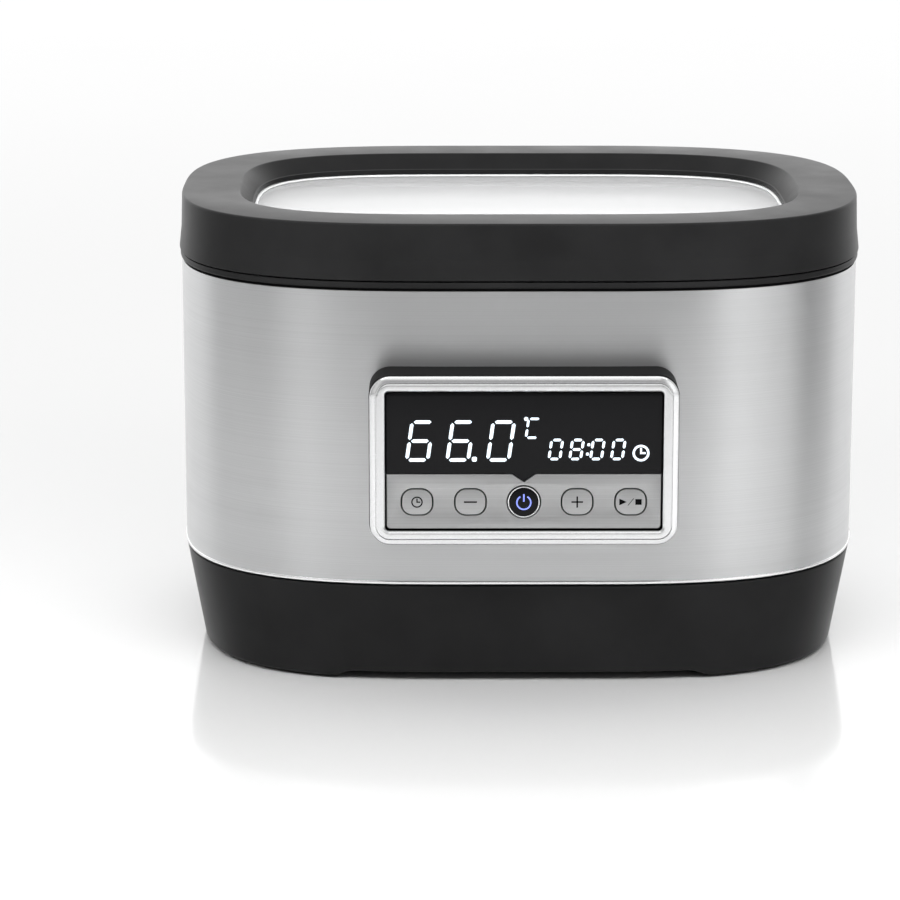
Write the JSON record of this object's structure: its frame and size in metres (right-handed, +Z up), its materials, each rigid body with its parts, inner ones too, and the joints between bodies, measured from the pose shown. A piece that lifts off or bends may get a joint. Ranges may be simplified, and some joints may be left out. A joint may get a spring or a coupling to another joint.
{
  "type": "water oven",
  "caption": "Oval countertop water oven with lift-off windowed lid, steel wrap, heated pot, tapered base and a front display panel with push buttons.",
  "frame": {"origin": "on the table, under the centre of the whole appliance, front panel and rear inlet included", "axes": "+Z up through the lid, +X along the long side to the right seen from the front, the front panel faces -Y"},
  "size_m": [0.3746, 0.3118, 0.25],
  "materials": {
    "black_plastic": "fine satin texture",
    "inlet_plastic": "satin",
    "window_glass": "clear toughened glass",
    "black_rubber": "matte",
    "silicone": "translucent matte",
    "screw_steel": "plated",
    "brushed_steel": "fine horizontal brushing",
    "pot_steel": "satin, deep drawn",
    "insulation_felt": "needled felt",
    "cast_aluminium": "as cast",
    "brass": "turned",
    "circuit_board": "solder mask",
    "relay_plastic": "gloss",
    "grey_plastic": "satin",
    "bezel_chrome": "satin chrome",
    "display_black": "high gloss",
    "fascia_metal": "fine horizontal brushing",
    "display_digits": "lit segments",
    "power_symbol": "lit symbol",
    "panel_print": "printed symbols"
  },
  "bodies": {
    "root": {"body_collar": "black_plastic", "base_housing": "black_plastic", "base_cover": "black_plastic", "control_housing": "black_plastic", "mains_inlet": "inlet_plastic", "foot_1": "black_rubber", "foot_2": "black_rubber", "foot_3": "black_rubber", "foot_4": "black_rubber", "tie_rod_1": "screw_steel", "tie_rod_2": "screw_steel", "tie_rod_3": "screw_steel", "tie_rod_4": "screw_steel", "base_screw_1": "screw_steel", "base_screw_2": "screw_steel", "base_screw_3": "screw_steel", "base_screw_4": "screw_steel", "inlet_screw_1": "screw_steel", "inlet_screw_2": "screw_steel", "outer_shell": "brushed_steel", "inner_pot": "pot_steel", "heater_element": "pot_steel", "heat_shield": "pot_steel", "pot_insulation": "insulation_felt", "heater_plate": "cast_aluminium", "thermal_cutout": "cast_aluminium", "temperature_probe": "brass", "mains_pin_live": "brass", "mains_pin_earth": "brass", "mains_pin_neutral": "brass", "power_board": "circuit_board", "control_board": "circuit_board", "power_relay": "relay_plastic", "tact_switch_1": "relay_plastic", "tact_switch_2": "relay_plastic", "tact_switch_3": "relay_plastic", "tact_switch_4": "relay_plastic", "tact_switch_5": "relay_plastic", "terminal_block": "grey_plastic", "display_module": "grey_plastic", "control_bezel": "bezel_chrome", "display_lens": "display_black", "button_fascia": "fascia_metal"},
    "lid": {"lid_frame": "black_plastic", "lid_inner_ring": "grey_plastic", "lid_window": "window_glass", "lid_window_gasket": "silicone", "lid_seal": "silicone", "lid_screw_1": "screw_steel", "lid_screw_2": "screw_steel", "lid_screw_3": "screw_steel", "lid_screw_4": "screw_steel", "lid_screw_5": "screw_steel", "lid_screw_6": "screw_steel"},
    "button_set": {"button_set": "fascia_metal"},
    "button_minus": {"button_minus": "fascia_metal"},
    "button_power": {"button_power": "display_black"},
    "button_plus": {"button_plus": "fascia_metal"},
    "button_start_stop": {"button_start_stop": "fascia_metal"}
  },
  "joints": [
    {"name": "lid_lift", "type": "slide", "parent": "root", "child": "lid", "axis": [0, 0, 1], "range_m": [0, 0.12]},
    {"name": "press_set", "type": "slide", "parent": "root", "child": "button_set", "axis": [0, 1, 0], "range_m": [0, 0.001], "stiffness_N_per_m": 600},
    {"name": "press_minus", "type": "slide", "parent": "root", "child": "button_minus", "axis": [0, 1, 0], "range_m": [0, 0.001], "stiffness_N_per_m": 600},
    {"name": "press_power", "type": "slide", "parent": "root", "child": "button_power", "axis": [0, 1, 0], "range_m": [0, 0.001], "stiffness_N_per_m": 600},
    {"name": "press_plus", "type": "slide", "parent": "root", "child": "button_plus", "axis": [0, 1, 0], "range_m": [0, 0.001], "stiffness_N_per_m": 600},
    {"name": "press_start_stop", "type": "slide", "parent": "root", "child": "button_start_stop", "axis": [0, 1, 0], "range_m": [0, 0.001], "stiffness_N_per_m": 600}
  ]
}
